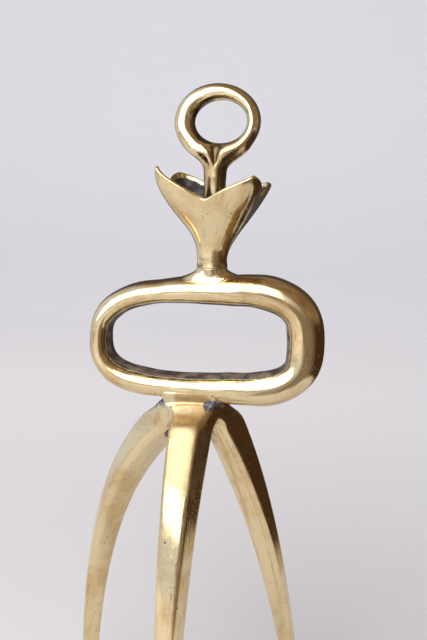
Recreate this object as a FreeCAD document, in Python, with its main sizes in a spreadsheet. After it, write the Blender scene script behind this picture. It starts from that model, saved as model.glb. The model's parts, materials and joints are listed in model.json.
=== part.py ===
import FreeCAD, Part
import math
import os

# Souvenir bottle opener: a standing brass figure brazed up from separate castings.
# Three bowed legs carry a hub, the hub carries an oblong opener loop, and a four-cornered
# collar cup and a ring head stand on the loop's neck.
# Frame: +Z up, the floor at Z = 0, the origin at the middle of the footprint, the loop facing -Y.

V = FreeCAD.Vector
doc = FreeCAD.newDocument("bottle_opener")

# ---------------------------------------------------------------- driving dimensions, mm and degrees
driving = {
    # tripod
    "axis_x": 1.2,             # leg axis, sideways from the origin
    "axis_y": 9.1,            # leg axis behind the origin
    "hub_top": 117.0,          # height of the hub's flat seat
    "hub_seat_radius": 9.0,
    "hub_radius": 10.8,
    "hub_depth": 14.0,
    "path_top": 118.0,         # height where a leg's centre line starts
    "seam_height": 103.5,      # height of the seam between hub and leg, on the centre line
    "leg_wide_top": 6.8,       # half width of a leg, across, at the seam and at the foot
    "leg_wide_foot": 2.8,
    "leg_face": 0.62,          # outer face's share of the width
    "leg_thick_top": 5.9,      # half thickness of a leg, radial
    "leg_thick_foot": 2.1,
    # opener loop
    "loop_x": 4.3,             # middle of the loop, to the right of the leg axis
    "loop_z": 140.0,
    "loop_half_length": 35.0,  # of the bar's centre line
    "loop_half_height": 16.8,
    "loop_square": 2.9,        # exponent of the oblong at its middle: 2 is an ellipse
    "loop_square_more": 0.3,   # squarer than that at the right end, rounder at the left
    "loop_half_depth": 7.0,
    "bar_thin": 3.4,           # half thickness of the bar at the left end
    "bar_thick": 6.4,          # and at the right end
    "neck_x": 8.1,
    "neck_radius": 5.0,
    "neck_seam": 164.5,
    "saddle_radius": 6.6,
    # collar cup
    "cup_foot_radius": 5.1,
    "cup_floor": 172.0,
    "cup_wall": 1.4,
    "cup_drift": 1.2,          # how far the cup's middle stands to the right of the neck
    "notch_z": 186.5,
    "tip_z": 197.5,
    # ring head
    "stem_radius": 3.6,
    "ring_x": 10.4,
    "ring_z": 212.0,
    "ring_half_width": 11.6,   # of the ring bar's centre line
    "ring_half_height": 9.6,
    "ring_square": 2.1,
    "ring_square_more": 0.0,
    "ring_half_depth": 3.7,
    "ring_thin": 2.2,
    "ring_thick": 3.2,
    "ring_turn": -6.0,
    "ring_lean": 4.0,
    # joining hardware
    "solder_film": 0.3,
    "neck_stud_radius": 2.0,
    "neck_stud_length": 19.0,
    "hub_stud_radius": 2.5,
    "hub_stud_length": 15.0,
    "dowel_radius": 2.0,
    "dowel_length": 13.0,
    "pin_clearance": 0.05,
}
sheet = doc.addObject("Spreadsheet::Sheet", "Sizes")
for row, (alias, value) in enumerate(driving.items(), start=1):
    sheet.set(f"A{row}", alias)
    sheet.set(f"B{row}", str(value))
    sheet.setAlias(f"B{row}", alias)
doc.recompute()


def size(alias):
    return float(sheet.get(alias))


# name: azimuth from -Y towards +X, start radius, foot radius, bow (higher turns down sooner), twist at the foot,
# sideways offset of the leg's plane, share by which it is wider than leg_wide_top and leg_wide_foot
legs = {
    "leg_front": (-7.7, 6.0, 39.0, 1.9, 0.0, 1.8, 1.09),
    "leg_right": (120.0, 8.0, 40.8, 1.35, -45.0, 0.0, 1.0),
    "leg_left": (-114.0, 3.0, 49.4, 3.1, 50.0, 0.0, 1.0),
}
leg_heights = (103.5, 94.0, 80.0, 62.0, 42.0, 20.0, -4.0)   # where a leg's sections are
arm_heights = (116.5, 110.0, 103.5)                         # where a hub arm's sections are


# ---------------------------------------------------------------- helpers
def origin_plane(body, role):
    return next(f for f in body.Origin.OriginFeatures if f.Role == role)


def new_body(label, placement=None):
    body = doc.addObject("PartDesign::Body", label)
    body.Label = label
    if placement:
        body.Placement = placement
    return body


def new_sketch(body, name, role="XY_Plane", offset=None):
    sketch = body.newObject("Sketcher::SketchObject", name)
    sketch.AttachmentSupport = (origin_plane(body, role), "")
    sketch.MapMode = "FlatFace"
    if offset:
        sketch.AttachmentOffset = offset
    return sketch


def section(name, placement, ring, *widths):
    """A free sketch holding one circle or ellipse, each (constraint, expression) of widths driving it."""
    sketch = doc.addObject("Sketcher::SketchObject", name)
    sketch.Placement = placement
    sketch.addGeometry(ring)
    if len(widths) > 1:
        sketch.exposeInternalGeometry(0)
        from_sketcher(sketch, ("Coincident", 0, 3, -1, 1), ("Horizontal", 1))
    else:
        from_sketcher(sketch, ("Coincident", 0, 3, -1, 1))
    for row, expression in widths:
        index = from_sketcher(sketch, row)
        sketch.setExpression(f"Constraints[{index}]", expression)
    return sketch


def ellipse_section(name, placement, across, along):
    """Semi-axis `across` on the sketch's X and the smaller `along` on its Y, both expressions."""
    ring = Part.Ellipse(V(9, 0, 0), V(0, 4, 0), V(0, 0, 0))
    return section(name, placement, ring, (("Distance", 1, 18.0), f"2 * ({across})"),
                   (("Distance", 2, 8.0), f"2 * ({along})"))


def polygon_section(name, placement, corners):
    """A free sketch of straight lines through corners given as expressions."""
    sketch = doc.addObject("Sketcher::SketchObject", name)
    sketch.Placement = placement
    draw_polygon(sketch, corners)
    return sketch


def circle_section(name, placement, radius):
    ring = Part.Circle(V(0, 0, 0), V(0, 0, 1), 3)
    return section(name, placement, ring, (("Radius", 0, 3.0), radius))


def at(x, y, z):
    return FreeCAD.Placement(V(x, y, z), FreeCAD.Rotation())


def free_loft(name, sections, closed=False):
    feature = doc.addObject("Part::Loft", name)
    feature.Sections = sections
    feature.Solid = True
    feature.Closed = closed
    doc.recompute()
    return feature


def from_sketcher(sketch, *rows):
    import Sketcher
    index = -1
    for row in rows:
        index = sketch.addConstraint(Sketcher.Constraint(*row))
    return index


def outline(body, name, points, role="XZ_Plane"):
    sketch = new_sketch(body, name, role)
    draw_polygon(sketch, points)
    return sketch


def draw_polygon(sketch, points):
    """A closed outline of straight lines; each coordinate is a number or an expression of the sheet."""
    start = [(evaluate(x), evaluate(y)) for x, y in points]
    for a, b in zip(start, start[1:] + start[:1]):
        sketch.addGeometry(Part.LineSegment(V(*a, 0), V(*b, 0)))
    for i in range(len(start)):
        from_sketcher(sketch, ("Coincident", i, 2, (i + 1) % len(start), 1))
    for i, (x, y) in enumerate(points):
        for kind, text in (("DistanceX", x), ("DistanceY", y)):
            value = evaluate(text)
            if abs(value) < 1e-9:
                on_axis = -2 if kind == "DistanceX" else -1
                from_sketcher(sketch, ("PointOnObject", i, 1, on_axis))
                continue
            index = from_sketcher(sketch, (kind, -1, 1, i, 1, value))
            if isinstance(text, str):
                sketch.setExpression(f"Constraints[{index}]", text)


def evaluate(text):
    """A number as it is, or the value of an expression such as "Sizes.hub_top - 2"."""
    if isinstance(text, (int, float)):
        return float(text)
    return float(sheet.evalExpression(text))


def revolve(body, name, points):
    """The outline in the body's XZ plane, turned about the body's Z axis."""
    sketch = outline(body, name + "_profile", points)
    feature = body.newObject("PartDesign::Revolution", name)
    feature.Profile = sketch
    feature.ReferenceAxis = (sketch, ["V_Axis"])
    feature.Angle = 360
    return feature


def loft(body, name, sections, kind="AdditiveLoft", closed=False):
    feature = body.newObject("PartDesign::" + kind, name)
    feature.Profile = sections[0]
    feature.Sections = sections[1:]
    feature.Closed = closed
    doc.recompute()
    return feature


def cylinder(name, radius, length, placement):
    made = doc.addObject("Part::Cylinder", name)
    made.setExpression("Radius", radius)
    made.setExpression("Height", length)
    made.Placement = placement
    return made


def part_cut(label, base, *tools):
    """base less every tool, each cut checked to have removed something."""
    for i, tool in enumerate(tools):
        doc.recompute()
        before = base.Shape.Volume
        cut = doc.addObject("Part::Cut", label if i == len(tools) - 1 else f"{label}_cut_{i}")
        cut.Base, cut.Tool = base, tool
        doc.recompute()
        if cut.Shape.Volume > before - 0.01:
            raise RuntimeError(f"{tool.Name} removed nothing from {label}")
        base = cut
    base.Label = label
    return base


def part_fuse(name, *shapes):
    fused = doc.addObject("Part::MultiFuse", name)
    fused.Shapes = shapes
    doc.recompute()
    return fused


# ---------------------------------------------------------------- bars bent round into an oblong
def oblong_bar(name, count, place, half_x, half_z, square, depth, left, right):
    """A bar of elliptical section on a superellipse in the XZ plane of `place`, closed on itself.
    Section k is at angle t: x = half_x * c^(2/n), z = half_z * s^(2/n) with signed powers; its half
    thickness goes from `left` to `right` with cos(t)."""
    def point(t):
        c, s = math.cos(t), math.sin(t)
        power = 2.0 / (size(square) + size(square + "_more") * c)
        return V(size(half_x) * math.copysign(abs(c) ** power, c), 0,
                 size(half_z) * math.copysign(abs(s) ** power, s))

    sections = []
    for k in range(count):
        t = math.pi + 2 * math.pi * (k + 0.5) / count
        tangent = (point(t + 0.01) - point(t - 0.01)).normalize()
        depth_axis = V(0, 1, 0)
        turn = FreeCAD.Rotation(depth_axis, tangent.cross(depth_axis), tangent, "ZXY")
        middle = f"(Sizes.{left} + Sizes.{right}) / 2"
        swing = f"(Sizes.{right} - Sizes.{left}) / 2 * ({math.cos(t):.5f})"
        sections.append(ellipse_section(f"{name}_{k}", place.multiply(FreeCAD.Placement(point(t), turn)),
                                        f"Sizes.{depth}", f"{middle} + {swing}"))
    return free_loft(name, sections, closed=True)


# ---------------------------------------------------------------- legs and hub
def leg_path(leg, z):
    """Radius of a leg's centre line at height z, and its lean from the vertical in degrees."""
    _, start, foot, bow = legs[leg][:4]
    top = size("path_top")
    share = (top - z) / top
    radius = start + (foot - start) * (1 - math.exp(-bow * share)) / (1 - math.exp(-bow))
    slope = (foot - start) * bow / top * math.exp(-bow * share) / (1 - math.exp(-bow))
    return radius, math.degrees(math.atan(slope))


def leg_section(leg, name, z):
    """The leg's section at height z, square to its centre line: a flat outer face narrower than the flat
    inner one, sloping sides, and every corner taken off. It twists as the root of the way down."""
    radius, lean = leg_path(leg, z)
    share = max(0.0, z / size("seam_height"))
    twist = legs[leg][4] * math.sqrt(max(0.0, 1 - z / size("path_top")))
    turn = FreeCAD.Rotation(V(0, 1, 0), 180 - lean).multiply(FreeCAD.Rotation(V(0, 0, 1), 90 + twist))
    across = (f"{legs[leg][6]} * "
              f"(Sizes.leg_wide_foot + (Sizes.leg_wide_top - Sizes.leg_wide_foot) * {share ** 1.3:.5f})")
    along = f"(Sizes.leg_thick_foot + (Sizes.leg_thick_top - Sizes.leg_thick_foot) * {share ** 1.25:.5f})"
    half = [("Sizes.leg_face", 1.0), ("0.86", 0.80), ("1.0", -0.55), ("0.72", -1.0)]
    corners = [(f"{wide} * {across}", f"{deep} * {along}") for wide, deep in half]
    corners += [(f"-{wide} * {across}", f"{deep} * {along}") for wide, deep in reversed(half)]
    middle = leg_place(leg).multiply(FreeCAD.Placement(V(radius, 0, z), turn))
    return polygon_section(name, middle, corners)


def leg_place(leg):
    """A leg is laid out in an XZ plane, then turned to its azimuth on the leg axis, or beside it."""
    return FreeCAD.Placement(V(size("axis_x") + legs[leg][5], size("axis_y"), 0), FreeCAD.Rotation(V(0, 0, 1), legs[leg][0] - 90))


def dowel_place(leg):
    radius, lean = leg_path(leg, size("seam_height"))
    along = FreeCAD.Rotation(V(0, 1, 0), 180 - lean)
    middle = leg_place(leg).multiply(FreeCAD.Placement(V(radius, 0, size("seam_height")), along))
    return middle.multiply(FreeCAD.Placement(V(0, 0, -size("dowel_length") / 2), FreeCAD.Rotation()))


def dowel_bore(leg, tag):
    return cylinder(f"{leg}_{tag}_bore", "Sizes.dowel_radius + Sizes.pin_clearance", "Sizes.dowel_length",
                    dowel_place(leg))


def make_leg(leg):
    sections = [leg_section(leg, f"{leg}_section_{i}", z) for i, z in enumerate(leg_heights)]
    bar = free_loft(leg + "_bar", sections)
    floor = doc.addObject("Part::Box", leg + "_floor")
    floor.Length, floor.Width, floor.Height = 200, 200, 30
    floor.Placement.Base = V(-100, -100, -30)
    return part_cut(leg, bar, floor, dowel_bore(leg, "leg"))


def hub_stud_place():
    depth_in_hub = size("hub_stud_length") - 6.0
    return at(size("axis_x"), size("axis_y"), size("hub_top") - depth_in_hub)


def make_hub():
    dome = new_body("hub_dome", at(size("axis_x"), size("axis_y"), 0))
    revolve(dome, "hub_turning", [
        (0, "Sizes.hub_top"),
        ("Sizes.hub_seat_radius", "Sizes.hub_top"),
        ("Sizes.hub_radius", "Sizes.hub_top - 3"),
        ("Sizes.hub_radius", "Sizes.hub_top - 6"),
        ("Sizes.hub_radius - 4", "Sizes.hub_top - Sizes.hub_depth"),
        (0, "Sizes.hub_top - Sizes.hub_depth"),
    ])
    arms = [dome]
    for leg in legs:
        sections = [leg_section(leg, f"{leg}_arm_{i}", z) for i, z in enumerate(arm_heights)]
        arms.append(free_loft(leg + "_arm", sections))
    dome = new_body("hub_limit", at(size("axis_x"), size("axis_y"), 0))     # rounds off the arms' tops
    revolve(dome, "hub_limit_turning", [
        (0, "Sizes.hub_top"),
        ("Sizes.hub_seat_radius", "Sizes.hub_top"),
        ("Sizes.hub_seat_radius + 4.5", "Sizes.hub_top - 2"),
        ("Sizes.hub_seat_radius + 8.5", "Sizes.hub_top - 5"),
        ("Sizes.hub_seat_radius + 17", "Sizes.hub_top - 12"),
        ("Sizes.hub_seat_radius + 17", "Sizes.hub_top - 25"),
        (0, "Sizes.hub_top - 25"),
    ])
    limited = doc.addObject("Part::Common", "hub_limited")
    limited.Base, limited.Tool = part_fuse("hub_blank", *arms), dome
    stud_hole = cylinder("hub_stud_bore", "Sizes.hub_stud_radius + Sizes.pin_clearance",
                         "Sizes.hub_stud_length", hub_stud_place())
    return part_cut("leg_hub", limited, stud_hole,
                    *[dowel_bore(leg, "hub") for leg in legs])


# ---------------------------------------------------------------- opener loop
def make_loop():
    y = size("axis_y")
    bar = oblong_bar("loop_bar", 16, at(size("loop_x"), y, size("loop_z")), "loop_half_length",
                     "loop_half_height", "loop_square", "loop_half_depth", "bar_thin", "bar_thick")
    bar_top = size("loop_z") + size("loop_half_height")
    bar_bottom = size("loop_z") - size("loop_half_height")
    x = size("neck_x")
    neck = free_loft("neck_boss", [
        circle_section("neck_low", at(x, y, bar_top), "Sizes.neck_radius + 1.8"),
        circle_section("neck_mid", at(x, y, bar_top + 4.4), "Sizes.neck_radius + 0.9"),
        circle_section("neck_high", at(x, y, size("neck_seam")), "Sizes.neck_radius")])
    saddle = cylinder("saddle_boss", "Sizes.saddle_radius", f"{bar_bottom - size('hub_top')} - Sizes.solder_film",
                      at(size("axis_x"), y, size("hub_top") + size("solder_film")))
    clearance = " + Sizes.pin_clearance"
    neck_bore = cylinder("neck_bore", "Sizes.neck_stud_radius" + clearance, "10", at(x, y, size("neck_seam") - 6))
    saddle_bore = cylinder("saddle_bore", "Sizes.hub_stud_radius" + clearance, "Sizes.hub_stud_length",
                           hub_stud_place())
    return part_cut("opener_loop", part_fuse("loop_blank", bar, neck, saddle), neck_bore, saddle_bore)


# ---------------------------------------------------------------- collar cup
# height, half width across the flats, corner radius; each section drifts sideways as it rises
cup_sections = ((164.8, 5.1, 5.0), (168.0, 4.95, 4.8), (171.5, 5.3, 5.0), (175.5, 6.8, 5.4), (180.5, 10.1, 6.6),
                (185.5, 13.5, 6.2), (191.0, 16.1, 5.0), (199.0, 18.4, 4.2))


def rounded_square(body, name, z, half, corner):
    """A square with rounded corners at height z, its middle moved along X by the cup's drift."""
    share = min(1.0, max(0.0, (z - 166) / 12))
    drift = size("cup_drift") * share * share * (3 - 2 * share)
    sketch = new_sketch(body, name, offset=at(drift, 0, z))
    flat = half - corner
    for quarter in range(4):
        turn = FreeCAD.Rotation(V(0, 0, 1), 90 * quarter)
        a, b = turn.multVec(V(half, -flat, 0)), turn.multVec(V(half, flat, 0))
        middle = turn.multVec(V(flat, flat, 0)) + turn.multVec(V(1, 1, 0).normalize()) * corner
        end = turn.multVec(V(flat, half, 0))
        sketch.addGeometry(Part.LineSegment(a, b))
        sketch.addGeometry(Part.Arc(b, middle, end))
    for i in range(8):
        from_sketcher(sketch, ("Coincident", i, 2, (i + 1) % 8, 1))
    return sketch


def make_cup():
    body = new_body("cup_blank", FreeCAD.Placement(V(size("neck_x"), size("axis_y"), 0),
                                                    FreeCAD.Rotation(V(0, 0, 1), -5)))
    wall = size("cup_wall")
    outer = [rounded_square(body, f"cup_outer_{i}", *row) for i, row in enumerate(cup_sections)]
    loft(body, "cup_skin", outer)
    inside = [(size("cup_floor"), 4.2, 3.9)]
    inside += [(z, half - wall, corner - wall) for z, half, corner in cup_sections[3:]]
    inside[-1] = (inside[-1][0] + 0.5, *inside[-1][1:])
    inner = [rounded_square(body, f"cup_inner_{i}", *row) for i, row in enumerate(inside)]
    loft(body, "cup_hollow", inner, kind="SubtractiveLoft")
    for name, role, left_tip, right_tip in (("notch_front", "XZ_Plane", 0.9, -3.4),
                                            ("notch_side", "YZ_Plane", 0.9, -1.4)):
        top = "Sizes.tip_z + 8"
        vee = outline(body, name + "_vee", [
            (0, "Sizes.notch_z"),
            (17.0, f"Sizes.tip_z + {right_tip}"),
            (26.0, f"Sizes.tip_z + {right_tip}"),
            (26.0, top),
            (-26.0, top),
            (-26.0, f"Sizes.tip_z + {left_tip}"),
            (-17.0, f"Sizes.tip_z + {left_tip}"),
        ], role)
        notch = body.newObject("PartDesign::Pocket", name)
        notch.Profile = vee
        notch.Length = 80
        notch.Midplane = True
        doc.recompute()
    hole = cylinder("cup_bore", "Sizes.neck_stud_radius + Sizes.pin_clearance", "12",
                    at(size("neck_x"), size("axis_y"), size("cup_floor") - 10))
    return part_cut("collar_cup", body, hole)


# ---------------------------------------------------------------- ring head with its stem
def make_head():
    turn = FreeCAD.Placement(V(size("neck_x"), size("axis_y"), 0),
                             FreeCAD.Rotation(V(0, 0, 1), size("ring_turn")))
    foot = at(size("ring_x") - size("neck_x"), 0, size("ring_z") - size("ring_half_height"))
    lean = FreeCAD.Placement(V(0, 0, 0), FreeCAD.Rotation(V(1, 0, 0), -size("ring_lean")))
    place = turn.multiply(foot).multiply(lean).multiply(at(0, 0, size("ring_half_height")))
    ring = oblong_bar("ring_bar", 12, place, "ring_half_width", "ring_half_height", "ring_square",
                      "ring_half_depth", "ring_thick", "ring_thin")
    rows = ((size("cup_floor"), 0.6, "Sizes.stem_radius + 0.02", "Sizes.stem_radius"),
            (180.0, 0.62, "Sizes.stem_radius + 0.04", "Sizes.stem_radius"),
            (193.0, 0.7, "Sizes.stem_radius + 0.1", "Sizes.stem_radius"),
            (198.5, 1.1, "Sizes.stem_radius + 1.3", "Sizes.stem_radius - 0.1"),
            (202.5, 1.5, "Sizes.stem_radius + 4.4", "Sizes.stem_radius - 0.5"))
    stem = [ellipse_section(f"stem_{i}", turn.multiply(at(x, 0, z)), across, along)
            for i, (z, x, across, along) in enumerate(rows)]
    hole = cylinder("stem_bore", "Sizes.neck_stud_radius + Sizes.pin_clearance", "12",
                    at(size("neck_x"), size("axis_y"), size("cup_floor") - 5))
    return part_cut("head_ring", part_fuse("head_blank", ring, free_loft("stem", stem)), hole)


# ---------------------------------------------------------------- studs, dowels and solder
def make_neck_stud():
    base = V(size("neck_x"), size("axis_y"), size("neck_seam") - 5.7)
    return cylinder("neck_stud", "Sizes.neck_stud_radius", "Sizes.neck_stud_length",
                    FreeCAD.Placement(base, FreeCAD.Rotation()))


def make_hub_stud():
    place = hub_stud_place()
    place.Base.z += 0.2
    made = cylinder("hub_stud", "Sizes.hub_stud_radius", "Sizes.hub_stud_length - 0.4", place)
    return made


def make_dowels():
    pins = []
    for leg in legs:
        place = dowel_place(leg).multiply(FreeCAD.Placement(V(0, 0, 0.2), FreeCAD.Rotation()))
        pins.append(cylinder(f"{leg}_dowel", "Sizes.dowel_radius", "Sizes.dowel_length - 0.4", place))
    group = doc.addObject("Part::Compound", "leg_dowels")
    group.Links = pins
    return group


def make_neck_solder():
    body = new_body("neck_solder", at(size("neck_x"), size("axis_y"), 0))
    low, high = "Sizes.neck_seam", "Sizes.neck_seam + Sizes.solder_film"
    inner = "Sizes.neck_stud_radius + Sizes.pin_clearance"
    revolve(body, "neck_film", [(inner, low), ("Sizes.neck_radius + 0.15", low),
                                ("Sizes.cup_foot_radius + 0.15", high), (inner, high)])
    return body


def make_stem_solder():
    body = new_body("stem_solder_blank", at(size("neck_x") + 0.6, size("axis_y"), 0))
    floor = "Sizes.cup_floor"
    revolve(body, "stem_fillet", [(3.0, floor), (4.2, floor), (4.8, f"{floor} + 2.2"), (3.0, f"{floor} + 2.2")])
    return body


def make_hub_solder():
    body = new_body("hub_solder_blank", at(size("axis_x"), size("axis_y"), 0))
    inner = "Sizes.hub_stud_radius + Sizes.pin_clearance"
    revolve(body, "hub_fillet", [(inner, "Sizes.hub_top"),
                                 ("Sizes.hub_seat_radius - 0.2", "Sizes.hub_top"),
                                 ("Sizes.saddle_radius + 0.4", "Sizes.hub_top + 1.6"),
                                 (inner, "Sizes.hub_top + 1.6")])
    return body


loop = make_loop()
cup = make_cup()
head = make_head()
hub = make_hub()
parts = [loop, cup, head, hub] + [make_leg(leg) for leg in legs]
neck_stud, hub_stud = make_neck_stud(), make_hub_stud()
parts += [neck_stud, hub_stud, make_dowels(), make_neck_solder()]
doc.recompute()
parts.append(part_cut("hub_solder", make_hub_solder(), loop))
parts.append(part_cut("stem_solder", make_stem_solder(), cup, head))
doc.recompute()

# ---------------------------------------------------------------- check and write
failed = [o.Name for o in doc.Objects if any(word in o.State for word in ("Invalid", "Error"))]
if failed:
    raise RuntimeError(f"failed objects: {failed}")
os.makedirs("parts", exist_ok=True)
for part in parts:
    shape = part.Shape
    if shape.isNull() or not shape.isValid() or not shape.Solids:
        raise RuntimeError(f"{part.Label} has no valid solid")
    box = shape.BoundBox
    print(f"{part.Label}: {len(shape.Solids)} solid(s), {shape.Volume / 1000:.2f} cm3, "
          f"X {box.XMin:.1f} to {box.XMax:.1f}, Y {box.YMin:.1f} to {box.YMax:.1f}, Z {box.ZMin:.1f} to {box.ZMax:.1f}")
    shape.exportStep(f"parts/{part.Label}.step")
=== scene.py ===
import bpy
import json
import math
import numpy as np
from mathutils import Matrix, Vector


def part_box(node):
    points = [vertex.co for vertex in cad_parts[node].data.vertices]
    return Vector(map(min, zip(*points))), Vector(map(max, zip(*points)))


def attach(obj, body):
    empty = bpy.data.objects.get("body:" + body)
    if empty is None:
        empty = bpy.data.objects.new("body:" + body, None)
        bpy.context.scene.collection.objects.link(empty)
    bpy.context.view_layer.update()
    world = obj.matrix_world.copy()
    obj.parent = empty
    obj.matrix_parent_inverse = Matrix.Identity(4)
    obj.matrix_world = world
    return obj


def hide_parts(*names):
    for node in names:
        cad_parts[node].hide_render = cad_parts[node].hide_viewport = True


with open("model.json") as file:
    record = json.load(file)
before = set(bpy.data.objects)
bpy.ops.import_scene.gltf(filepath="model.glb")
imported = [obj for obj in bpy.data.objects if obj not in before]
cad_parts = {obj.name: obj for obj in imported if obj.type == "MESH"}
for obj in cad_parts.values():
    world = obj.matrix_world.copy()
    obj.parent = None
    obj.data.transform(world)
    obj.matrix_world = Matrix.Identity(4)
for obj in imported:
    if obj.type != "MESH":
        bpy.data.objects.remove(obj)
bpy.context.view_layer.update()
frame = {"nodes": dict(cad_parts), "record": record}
record = frame["record"]
mm = 1000.0    # surfaces are worked out in millimetres and stored in metres
flowSlow = 12  # how many times longer than wide the streaks left by the file are


def boxOf(node):
    # lowest corner, highest corner and middle of a CAD node, in millimetres
    low, high = (np.array(corner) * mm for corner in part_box(node))
    return low, high, (low + high) / 2


def pointOf(mount):
    # a mount's place in millimetres
    return next(np.array(m["pos_m"]) * mm for m in record["mounts"] if m["name"] == mount)


# helpers for surfaces

def buildMesh(name, points, faces, skin, body="root", node=None, flow=None):
    # points in millimetres become a smooth mesh in metres; faces are turned to look outwards; flow is a
    # place that changes slowly along a bar and quickly across it, for the streaks left by the file
    tris = np.vstack([f[:, [0, k, k + 1]] for f in faces for k in range(1, f.shape[1] - 1)])
    a, b, c = (points[tris[:, k]] for k in range(3))
    if np.einsum("ij,ij->i", a, np.cross(b, c)).sum() < 0:
        faces = [f[:, ::-1] for f in faces]
    mesh = bpy.data.meshes.new(name)
    mesh.from_pydata((points / mm).tolist(), [], [row for f in faces for row in f.tolist()])
    mesh.polygons.foreach_set("use_smooth", np.ones(len(mesh.polygons), dtype=bool))
    mesh.update()
    piece = bpy.data.objects.new(name, mesh)
    addMark(piece, "castSkin", skin)
    addMark(piece, "flow", points * np.array([1, 1, 0.1]) if flow is None else flow)
    bpy.context.collection.objects.link(piece)
    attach(piece, body)
    if node:
        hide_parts(*([node] if isinstance(node, str) else node))
    print("made", name, len(points), "points")
    return piece


def addMark(piece, name, values):
    # one number, or one vector, for each point, which the materials read by name
    values = np.ascontiguousarray(values, dtype=np.float32)
    kind, field = ("FLOAT", "value") if values.ndim == 1 else ("FLOAT_VECTOR", "vector")
    mark = piece.data.attributes.new(name, kind, "POINT")
    mark.data.foreach_set(field, values.reshape(-1))


def gridFaces(rows, columns, start=0, wrapRows=False, capFirst=None, capLast=None):
    # quads between neighbours of a grid that closes across its columns; a cap is a fan to one point
    index = start + np.arange(rows * columns).reshape(rows, columns)
    index = np.hstack([index, index[:, :1]])
    if wrapRows:
        index = np.vstack([index, index[:1]])
    quads = np.stack([index[:-1, :-1], index[:-1, 1:], index[1:, 1:], index[1:, :-1]], -1).reshape(-1, 4)
    faces = [quads]
    for cap, row, flip in ((capFirst, index[0], 1), (capLast, index[-1], -1)):
        if cap is not None:
            fan = np.stack([row[:-1], np.full(columns, cap), row[1:]], -1)
            faces.append(fan[:, ::flip])
    return faces


def newtonSteps(field, points, steps=3, reach=0.5):
    # moves points onto the zero of the field, along its slope
    for _ in range(steps):
        value = field(points)
        slope = slopeOf(field, points)
        move = value[:, None] * slope / np.maximum((slope ** 2).sum(1), 1e-3)[:, None]
        length = np.linalg.norm(move, axis=1, keepdims=True)
        points = points - move * np.minimum(1, reach / np.maximum(length, 1e-9))
    return points


def slopeOf(field, points, h=0.03):
    # difference of the field a little ahead and a little behind along each axis
    return np.stack([(field(points + h * e) - field(points - h * e)) / (2 * h) for e in np.eye(3)], 1)


def skinOfField(field, low, high, step):
    # the surface where field is zero: one point in each cell it crosses, at the mean of the crossings on
    # the cell's edges, four cells round each crossed edge joined in a quad, then evened out and moved
    # back onto the zero
    axes = [np.arange(a, b + step, step) for a, b in zip(low, high)]
    places = np.stack(np.meshgrid(*axes, indexing="ij"), -1)
    shape = places.shape[:3]
    values = field(places.reshape(-1, 3)).reshape(shape)
    inside = values < 0
    cells = tuple(n - 1 for n in shape)
    total, count = np.zeros(cells + (3,)), np.zeros(cells)
    edges = []
    for axis in range(3):
        first = [slice(None)] * 3
        last = [slice(None)] * 3
        first[axis], last[axis] = slice(0, -1), slice(1, None)
        va, vb = values[tuple(first)], values[tuple(last)]
        crossed = inside[tuple(first)] != inside[tuple(last)]
        share = np.where(crossed, va / np.where(crossed, va - vb, 1), 0)
        cross = places[tuple(first)] + share[..., None] * (places[tuple(last)] - places[tuple(first)])
        others = [k for k in range(3) if k != axis]
        for i in (0, 1):
            for j in (0, 1):
                pick = [slice(None)] * 3
                pick[others[0]] = slice(i, cells[others[0]] + i)
                pick[others[1]] = slice(j, cells[others[1]] + j)
                total += (cross * crossed[..., None])[tuple(pick)]
                count += crossed[tuple(pick)]
        edges.append((axis, others, crossed, inside[tuple(first)]))
    used = count > 0
    number = np.full(cells, -1)
    number[used] = np.arange(used.sum())
    points = total[used] / count[used][:, None]
    quads = []
    for axis, others, crossed, begins in edges:
        spot = np.argwhere(crossed)
        keep = np.all([(spot[:, o] > 0) & (spot[:, o] < cells[o]) for o in others], 0)
        spot = spot[keep]
        corner = []
        for i, j in ((1, 1), (0, 1), (0, 0), (1, 0)):
            at = spot.copy()
            at[:, others[0]] -= i
            at[:, others[1]] -= j
            corner.append(number[at[:, 0], at[:, 1], at[:, 2]])
        quad = np.stack(corner, 1)
        turned = begins[tuple(spot.T)] ^ (axis == 1)
        quad[~turned] = quad[~turned][:, ::-1]
        quads.append(quad)
    quads = np.vstack(quads)
    points = newtonSteps(field, points)
    pairs = np.vstack([quads[:, [k, (k + 1) % 4]] for k in range(4)])
    for _ in range(4):
        near, many = np.zeros_like(points), np.zeros(len(points))
        for k in (0, 1):
            for d in range(3):
                near[:, d] += np.bincount(pairs[:, k], points[pairs[:, 1 - k], d], len(points))
            many += np.bincount(pairs[:, k], minlength=len(points))
        points = newtonSteps(field, points + 0.5 * (near / many[:, None] - points), 2)
    return points, [quads]


def softMax(values, soft):
    # a rounded maximum of several fields; soft is about the radius of the rounding
    top = np.max(values, axis=0)
    return top + soft * np.log(sum(np.exp((v - top) / soft) for v in values))


def softMin(values, soft):
    # a rounded minimum of several fields
    return -softMax([-v for v in values], soft)


def easeStep(low, high, value):
    # 3 t^2 - 2 t^3, where t runs from 0 at low to 1 at high and stops there
    t = np.clip((value - low) / (high - low), 0, 1)
    return t * t * (3 - 2 * t)


def signedPower(values, power):
    return np.sign(values) * np.abs(values) ** power


def handWobble(points, size):
    # the slow unevenness of hand-polished metal: a few crossed waves of 9 to 23 mm
    waves = ((0.29, 0.17, 0.41, 0.3), (-0.33, 0.46, 0.19, 1.7),
             (0.11, -0.52, 0.37, 2.9), (0.61, 0.21, -0.23, 4.1))
    return size * sum(np.sin(points @ np.array(w[:3]) + w[3]) for w in waves) / 2


# legs and hub

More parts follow.
